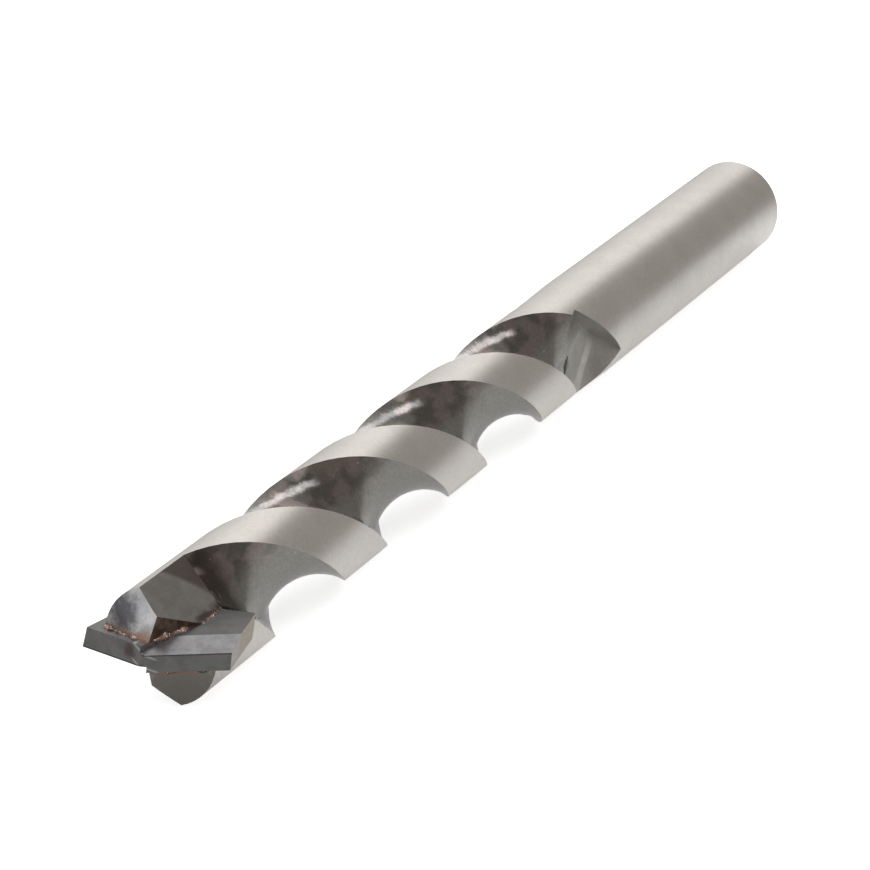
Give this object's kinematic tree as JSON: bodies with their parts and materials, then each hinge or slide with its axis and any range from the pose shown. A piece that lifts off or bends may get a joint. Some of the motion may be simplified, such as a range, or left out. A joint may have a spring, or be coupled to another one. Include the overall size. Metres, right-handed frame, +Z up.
{
  "type": "masonry drill bit",
  "caption": "Straight round-shank masonry drill bit with helical flutes and a brazed carbide plate across the point.",
  "frame": {"origin": "centre of the shank's end face", "axes": "+Y along the axis from the point toward the shank end, +Z up with the carbide plate level across X"},
  "size_m": [0.0164, 0.15, 0.0122],
  "materials": {
    "ground_steel": "satin ground",
    "carbide": "dull sintered",
    "braze": "oxidised"
  },
  "bodies": {
    "root": {"drill_body": "ground_steel", "carbide_tip": "carbide", "braze_seam": "braze"}
  },
  "joints": []
}
